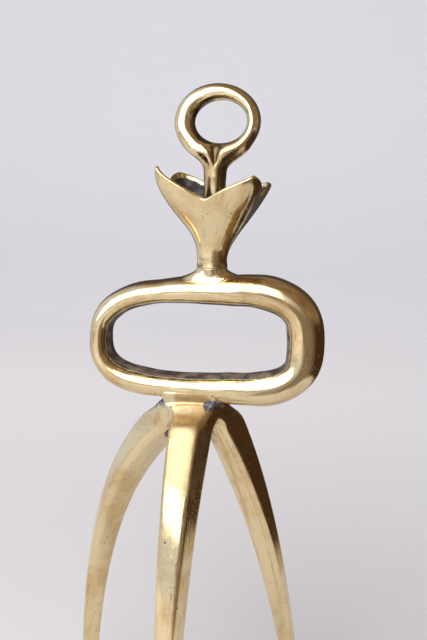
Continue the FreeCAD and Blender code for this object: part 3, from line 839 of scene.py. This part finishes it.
def pitGroup():
    # a few round holes: cells whose random number is high, dark inside a small distance of the cell's point
    group, into, out = startGroup("castPits", ("Share",), ("Height", "Mask"))
    masks = []
    for scale, size in ((420.0, 0.20), (900.0, 0.24)):
        cell = group.nodes.new("ShaderNodeTexVoronoi")
        cell.inputs["Scale"].default_value = scale
        wobble = noiseNode(group, into.outputs["Vector"], scale * 2.5, 2.0)
        bend = group.nodes.new("ShaderNodeVectorMath")
        bend.operation = "MULTIPLY_ADD"
        group.links.new(wobble, bend.inputs[0])
        bend.inputs[1].default_value = (0.0006, 0.0006, 0.0006)
        group.links.new(into.outputs["Vector"], bend.inputs[2])
        group.links.new(bend.outputs[0], cell.inputs["Vector"])
        split = group.nodes.new("ShaderNodeSeparateColor")
        group.links.new(cell.outputs["Color"], split.inputs[0])
        chosen = mathNode(group, "LESS_THAN", split.outputs[0], into.outputs["Share"])
        hole = rangeNode(group, cell.outputs["Distance"], size, size * 0.4)
        masks.append(times(group, hole, chosen))
    mask = mathNode(group, "MAXIMUM", *masks)
    group.links.new(times(group, mask, -1.0), out.inputs["Height"])
    group.links.new(mask, out.inputs["Mask"])
    return group


def patinaGroup():
    # cloudy tarnish: slow noise broken by finer noise
    group, into, out = startGroup("patina", ("Amount",), ("Cloud", "Speck"))
    slow = rangeNode(group, noiseNode(group, into.outputs["Vector"], 75.0, 5.0, 0.6, 0.4), 0.40, 0.68)
    fine = rangeNode(group, noiseNode(group, into.outputs["Vector"], 900.0, 3.0, 0.7), 0.56, 0.70)
    cloud = times(group, slow, into.outputs["Amount"])
    group.links.new(cloud, out.inputs["Cloud"])
    group.links.new(times(group, fine, cloud), out.inputs["Speck"])
    return group


def castGroup():
    # as-cast sand skin: where the mark, its edge torn by noise, is high; grainy height and blotchy colour
    group, into, out = startGroup("castSkinTexture", ("Mark",), ("Mask", "Height", "Blotch"))
    tear = plus(group, noiseNode(group, into.outputs["Vector"], 420.0, 4.0, 0.65), -0.5)
    torn = plus(group, into.outputs["Mark"], times(group, tear, 1.1))
    group.links.new(rangeNode(group, torn, 0.42, 0.60), out.inputs["Mask"])
    grain = noiseNode(group, into.outputs["Vector"], 1500.0, 5.0, 0.72)
    group.links.new(grain, out.inputs["Height"])
    group.links.new(noiseNode(group, into.outputs["Vector"], 260.0, 4.0, 0.6), out.inputs["Blotch"])
    return group


def streakGroup():
    # streaks left by the file and the polishing mop: noise read in the flow's places, two widths of it
    group, into, out = startGroup("fileStreaks", (), ("Height", "Line"))
    wide = noiseNode(group, into.outputs["Vector"], 0.55, 2.0, 0.5, 0.3)
    fine = noiseNode(group, into.outputs["Vector"], 2.4, 2.0, 0.6, 0.2)
    group.links.new(plus(group, wide, times(group, fine, 0.12)), out.inputs["Height"])
    lines = times(group, rangeNode(group, fine, 0.56, 0.66), rangeNode(group, wide, 0.46, 0.60))
    group.links.new(lines, out.inputs["Line"])
    return group


groups = {"streaks": streakGroup(), "scratches": scratchGroup(), "pits": pitGroup(),
          "patina": patinaGroup(), "cast": castGroup()}

brassLook = {
    "clean": (0.82, 0.675, 0.40, 1),
    "tarnish": (0.66, 0.46, 0.22, 1),
    "streak": (0.42, 0.22, 0.08, 1),
    "dull": (0.47, 0.33, 0.16, 1),
    # dark brown for painted shade in the hub's crotches, the fork, the stem's sides and the ring's inside, and
    # for the stain at the cup's foot
    "stainAndShade": (0.10, 0.062, 0.035, 1),
    "speck": (0.16, 0.12, 0.08, 1),
    "hollow": (0.03, 0.022, 0.016, 1),
    "solderLight": (0.50, 0.50, 0.53, 1),
    "solderDark": (0.10, 0.10, 0.12, 1),
    "castSkin": ((0.30, 0.24, 0.18, 1), (0.075, 0.06, 0.055, 1)),          # light and dark
    "cupSkin": ((0.135, 0.128, 0.125, 1), (0.045, 0.043, 0.043, 1)),
    "roughness": (0.10, 0.26),                                             # clean and tarnished
    "rougher": {"scratch": 0.15, "pit": 0.5, "cast": 0.55, "solder": 0.2, "dull": 0.24, "stainAndShade": 0.12},
    "relief": {"pit": 0.16, "scratch": 0.012, "sand": 0.30, "file": 0.10},    # in millimetres
}


def useGroup(tree, key, **values):
    node = tree.nodes.new("ShaderNodeGroup")
    node.node_tree = groups[key]
    for title, value in values.items():
        setOrLink(tree, node.inputs[title], value)
    return node.outputs


def newMaterial(name):
    material = bpy.data.materials.new(name)
    material.use_nodes = True
    tree = material.node_tree
    return material, tree, tree.nodes["Principled BSDF"], tree.nodes.new("ShaderNodeTexCoord").outputs["Object"]


def linkBump(tree, shader, reliefs):
    # the sum of each height times its depth in millimetres bends the normal
    total = 0.0
    for height, depth in reliefs:
        total = plus(tree, total, times(tree, height, depth))
    bump = tree.nodes.new("ShaderNodeBump")
    bump.inputs["Strength"].default_value = 1.0
    bump.inputs["Distance"].default_value = 1 / mm
    tree.links.new(total, bump.inputs["Height"])
    tree.links.new(bump.outputs["Normal"], shader.inputs["Normal"])


def brassMaterial(name, skin, pitShare, scratchAmount, patinaAmount):
    # polished brass under layers: tarnish, streaks, dull places, stain and painted shade, specks, pits, solder,
    # then cast skin
    look = brassLook
    material, tree, shader, place = newMaterial(name)
    shader.inputs["IOR"].default_value = 1.5
    cast = useGroup(tree, "cast", Vector=place, Mark=readMark(tree, "castSkin")["Fac"])
    patina = useGroup(tree, "patina", Vector=place, Amount=patinaAmount)
    pits = useGroup(tree, "pits", Vector=place, Share=pitShare)
    scratches = useGroup(tree, "scratches", Vector=place, Amount=scratchAmount)
    streaks = useGroup(tree, "streaks", Vector=readMark(tree, "flow")["Vector"])

    def edged(mark, noise, amount, low, high):
        # a mark whose edge is torn by noise, made a mask
        return rangeNode(tree, plus(tree, readMark(tree, mark)["Fac"], times(tree, noise, amount)), low, high)

    dull = edged("dullMark", plus(tree, cast["Blotch"], -0.5), 1.2, 0.30, 0.75)
    # the mask of painted shade on the hub and the head, and of the real stain at the cup's foot
    stainAndShade = edged("stainAndShadeMark", plus(tree, noiseNode(tree, place, 420.0, 3.0, 0.6), -0.5), 0.7, 0.25, 0.85)
    grey = edged("solderMark", noiseNode(tree, place, 650.0, 4.0, 0.7), 0.9, 0.98, 1.22)
    metal = mixColour(tree, patina["Cloud"], look["clean"], look["tarnish"])
    layers = ((streaks["Line"], 0.55, "streak"), (dull, 0.75, "dull"), (stainAndShade, 0.92, "stainAndShade"),
              (patina["Speck"], 0.5, "speck"), (pits["Mask"], 0.9, "hollow"))
    for mask, amount, colour in layers:
        metal = mixColour(tree, times(tree, mask, amount), metal, look[colour])
    patches = rangeNode(tree, cast["Blotch"], 0.4, 0.6)
    metal = mixColour(tree, grey, metal, mixColour(tree, patches, look["solderLight"], look["solderDark"]))
    light, dark = skin
    raw = mixColour(tree, rangeNode(tree, cast["Blotch"], 0.38, 0.66), dark, light)
    tree.links.new(mixColour(tree, cast["Mask"], metal, raw), shader.inputs["Base Color"])
    tree.links.new(rangeNode(tree, cast["Mask"], 0.0, 1.0, 1.0, 0.55), shader.inputs["Metallic"])
    masks = {"scratch": scratches["Mask"], "pit": pits["Mask"], "cast": cast["Mask"],
             "solder": grey, "dull": dull, "stainAndShade": stainAndShade}
    gloss = rangeNode(tree, patina["Cloud"], 0.0, 1.0, *look["roughness"])
    for title, amount in look["rougher"].items():
        gloss = plus(tree, gloss, times(tree, masks[title], amount), clamp=True)
    tree.links.new(gloss, shader.inputs["Roughness"])
    sand = times(tree, cast["Height"], cast["Mask"])
    heights = {"pit": pits["Height"], "scratch": scratches["Height"], "sand": sand, "file": streaks["Height"]}
    linkBump(tree, shader, [(heights[title], depth) for title, depth in look["relief"].items()])
    return material


solderLook = {
    "metal": (0.42, 0.40, 0.37, 1),
    "tarnish": (0.16, 0.14, 0.13, 1),
    "hollow": (0.035, 0.03, 0.028, 1),
    "pitShare": 0.55,
    "roughness": (0.28, 0.6),
    "relief": (0.3, 0.35),   # of the pits and of the lumps, in millimetres
}


def solderMaterial():
    look = solderLook
    material, tree, shader, place = newMaterial("pittedSolder")
    pits = useGroup(tree, "pits", Vector=place, Share=look["pitShare"])
    patina = useGroup(tree, "patina", Vector=place, Amount=1.0)
    colour = mixColour(tree, patina["Cloud"], look["metal"], look["tarnish"])
    tree.links.new(mixColour(tree, pits["Mask"], colour, look["hollow"]), shader.inputs["Base Color"])
    shader.inputs["Metallic"].default_value = 0.9
    tree.links.new(rangeNode(tree, patina["Cloud"], 0.0, 1.0, *look["roughness"]), shader.inputs["Roughness"])
    lumps = noiseNode(tree, place, 700.0, 3.0, 0.6)
    linkBump(tree, shader, zip((pits["Height"], lumps), look["relief"]))
    return material


polished = brassMaterial("polishedBrass", brassLook["castSkin"], 0.012, 1.0, 0.8)
cupBrass = brassMaterial("cupBrass", brassLook["cupSkin"], 0.02, 1.0, 0.9)
rodBrass = brassMaterial("drawnRod", brassLook["castSkin"], 0.0, 0.6, 0.3)
solder = solderMaterial()
print("materials ready")

for leg in legShape["legs"]:
    makeLeg(leg).data.materials.append(polished)
makeHub().data.materials.append(polished)
makeLoop().data.materials.append(polished)
makeCup().data.materials.append(cupBrass)
makeHead().data.materials.append(polished)
for ring in makeSolder():
    ring.data.materials.append(solder)
for node in ("neck_stud", "hub_stud", "leg_dowels"):
    item = frame["nodes"][node]
    for slotEntry in item.material_slots:
        slotEntry.material = rodBrass

# floor, light and camera

stageLook = {
    "floor": (0.79, 0.785, 0.81, 1),
    "backdrop": (0.71, 0.705, 0.735, 1),
    "lift": 0.24,                         # how much the far paper glows, as if lit from behind
    "sweep": (900.0, 300.0, 640.0, 1600.0),    # where the bend starts, its radius, the wall's top, half width
    "table": (0.55, 0.47, 0.36, 1),
    "room": (0.36, 0.27, 0.18, 1),        # the room to the right and overhead, and its darker mottle
    "roomDark": (0.20, 0.13, 0.08, 1),
    "window": (0.74, 0.78, 0.88, 1),      # the light side
    "behind": (0.075, 0.070, 0.075, 1),   # above the backdrop
    "cardFront": (0.27, 0.22, 0.18, 1),
    "cardSide": (0.060, 0.034, 0.018, 1),
    "card": (190.0, 195.0, -8.0, 152.0),  # radius, height, first and last angle from the front, rightwards
    # place, aim, width, height, power and colour of each softbox
    "lamps": {
        "windowSoftbox": ((-0.36, -0.62, 0.60), (0, 0, 0.14), 1.25, 0.85, 8.5, (1.0, 0.99, 0.97)),
        "overheadSoftbox": ((-0.25, -0.34, 0.98), (0, 0, 0.13), 0.4, 0.35, 0.9, (1.0, 1.0, 1.0)),
    },
}


def splitPlace(tree, place):
    node = tree.nodes.new("ShaderNodeSeparateXYZ")
    tree.links.new(place, node.inputs[0])
    return node.outputs


def fadeOut(tree, amount, surface):
    # the surface where amount is 0, nothing at all where it is 1
    mix = tree.nodes.new("ShaderNodeMixShader")
    clear = tree.nodes.new("ShaderNodeBsdfTransparent")
    for socket, value in zip(mix.inputs, (amount, surface, clear.outputs[0])):
        tree.links.new(value, socket)
    tree.links.new(mix.outputs[0], tree.nodes["Material Output"].inputs["Surface"])


def makeSweep():
    # a floor that sweeps up behind the object: straight, a quarter circle, then a low wall
    start, radius, top, half = stageLook["sweep"]
    bend = np.linspace(0, np.pi / 2, 24)
    y = np.concatenate([[-start], start + radius * np.sin(bend), [start + radius]])
    z = np.concatenate([[0.0], radius * (1 - np.cos(bend)), [top]])
    x = np.array([[-half, half]])
    points = np.stack(np.broadcast_arrays(x, y[:, None], z[:, None]), -1).reshape(-1, 3) / mm
    material, tree, shader, place = newMaterial("palePaper")
    shader.inputs["Base Color"].default_value = stageLook["floor"]
    shader.inputs["Roughness"].default_value = 0.9
    shader.inputs["Specular IOR Level"].default_value = 0.1
    shader.inputs["Emission Color"].default_value = stageLook["backdrop"]
    y = splitPlace(tree, place)["Y"]
    distant = times(tree, rangeNode(tree, y, 0.05, 0.55), rangeNode(tree, y, 0.88, 1.12, 1.0, 0.4))
    tree.links.new(times(tree, distant, stageLook["lift"]), shader.inputs["Emission Strength"])
    # the far floor and the wall are left out of reflections, as if the paper ended there
    mirrored = tree.nodes.new("ShaderNodeLightPath").outputs["Is Glossy Ray"]
    fadeOut(tree, times(tree, rangeNode(tree, y, 0.30, 0.55), mirrored), shader.outputs[0])
    stageStrip("paleSweep", points, material)


def makeCard():
    # a dark card curved round the right of the object, seen only in its reflections
    radius, height, first, last = stageLook["card"]
    angle = np.radians(np.linspace(first, last, 60))
    foot = np.stack([radius * np.sin(angle), -radius * np.cos(angle), 0 * angle + 0.5], -1)
    points = np.stack([foot, foot + np.array([0, 0, height])], 1).reshape(-1, 3) / mm
    material, tree, shader, place = newMaterial("darkCard")
    tree.nodes.remove(shader)
    x, y, z = splitPlace(tree, place)
    dark = mixColour(tree, rangeNode(tree, y, -0.17, -0.02), stageLook["cardFront"], stageLook["cardSide"])
    glow = tree.nodes.new("ShaderNodeEmission")
    colour = mixColour(tree, rangeNode(tree, z, 0.024, 0.008), dark, stageLook["table"])
    tree.links.new(colour, glow.inputs["Color"])
    upper = rangeNode(tree, z, height / mm * 0.75, height / mm * 0.98)
    front = times(tree, rangeNode(tree, x, 0.03, -0.026), rangeNode(tree, y, 0.0, -0.1))
    fadeOut(tree, mathNode(tree, "MAXIMUM", upper, front), glow.outputs[0])
    card = stageStrip("darkCard", points, material)
    card.visible_camera = card.visible_diffuse = card.visible_shadow = False


def stageStrip(name, points, material):
    # two rows of points joined by quads
    index = np.arange(len(points)).reshape(-1, 2)
    quads = np.stack([index[:-1, 0], index[:-1, 1], index[1:, 1], index[1:, 0]], -1)
    mesh = bpy.data.meshes.new(name)
    mesh.from_pydata(points.tolist(), [], quads.tolist())
    mesh.polygons.foreach_set("use_smooth", np.ones(len(quads), dtype=bool))
    strip = bpy.data.objects.new(name, mesh)
    bpy.context.collection.objects.link(strip)
    mesh.materials.append(material)
    return strip


def addLight(name, place, aim, wide, high, power, colour):
    # a rectangular softbox turned to face its aim
    data = bpy.data.lights.new(name, "AREA")
    data.shape = "RECTANGLE"
    data.size, data.size_y = wide, high
    data.energy = power
    data.color = colour
    lamp = bpy.data.objects.new(name, data)
    lamp.location = place
    lamp.rotation_euler = (Vector(aim) - Vector(place)).to_track_quat("-Z", "Y").to_euler()
    bpy.context.collection.objects.link(lamp)


def makeWorld():
    # a room by direction alone: brown to the right, light to the left and in front, dark behind; a plain
    # pale ground where it is seen past the floor
    world = bpy.data.worlds.new("studioRoom")
    world.use_nodes = True
    tree = world.node_tree
    place = tree.nodes.new("ShaderNodeTexCoord").outputs["Generated"]
    x, y, z = splitPlace(tree, place)
    mottle = rangeNode(tree, noiseNode(tree, place, 5.0, 4.0, 0.7), 0.35, 0.65)
    colour = mixColour(tree, mottle, stageLook["room"], stageLook["roomDark"])
    behind = times(tree, rangeNode(tree, y, 0.35, 0.75), rangeNode(tree, z, 0.85, 0.60))
    colour = mixColour(tree, behind, colour, stageLook["behind"])
    lean = plus(tree, times(tree, x, -0.85), times(tree, y, -0.45))
    colour = mixColour(tree, rangeNode(tree, lean, -0.02, 0.40), colour, stageLook["window"])
    sight = tree.nodes.new("ShaderNodeLightPath").outputs["Is Camera Ray"]
    colour = mixColour(tree, sight, colour, stageLook["backdrop"])
    tree.links.new(colour, tree.nodes["Background"].inputs["Color"])
    tree.nodes["Background"].inputs["Strength"].default_value = 1.0
    bpy.context.scene.world = world


makeSweep()
makeCard()
makeWorld()
for name, values in stageLook["lamps"].items():
    addLight(name, *values)
print("floor, card, world and lights ready")

cameraShape = {
    "azimuth": 9.0, "pitch": 9.0,      # degrees: from the right of the front, looking down
    "lens": 50.0,
    "distance": 300.0,                 # from the target, in millimetres
    "aim": (-0.00787, 0.0225),         # where the target falls, right and down, as slopes
    "targetRight": 1.9,                # how far the target stands to the right of the loop's middle
}


def makeCamera():
    # looks along one direction and stands so that the target falls at one place in the view
    azimuth, pitch = (math.radians(cameraShape[k]) for k in ("azimuth", "pitch"))
    level = math.cos(pitch)
    forward = Vector((-math.sin(azimuth) * level, math.cos(azimuth) * level, -math.sin(pitch)))
    right = Vector((math.cos(azimuth), math.sin(azimuth), 0))
    up = right.cross(forward)
    across, down = cameraShape["aim"]
    target = Vector(loopShape["middle"]) + Vector((cameraShape["targetRight"], 0, 0))
    data = bpy.data.cameras.new("camera")
    data.sensor_width = 36.0
    data.lens = cameraShape["lens"]
    data.clip_start = 0.01
    camera = bpy.data.objects.new("camera", data)
    place = target - (forward + right * across - up * down) * cameraShape["distance"]
    camera.matrix_world = Matrix.Translation(place / mm) @ Matrix((right, up, -forward)).transposed().to_4x4()
    bpy.context.collection.objects.link(camera)
    bpy.context.scene.camera = camera


makeCamera()
print("camera ready")
bpy.context.scene.view_settings.view_transform = "Standard"
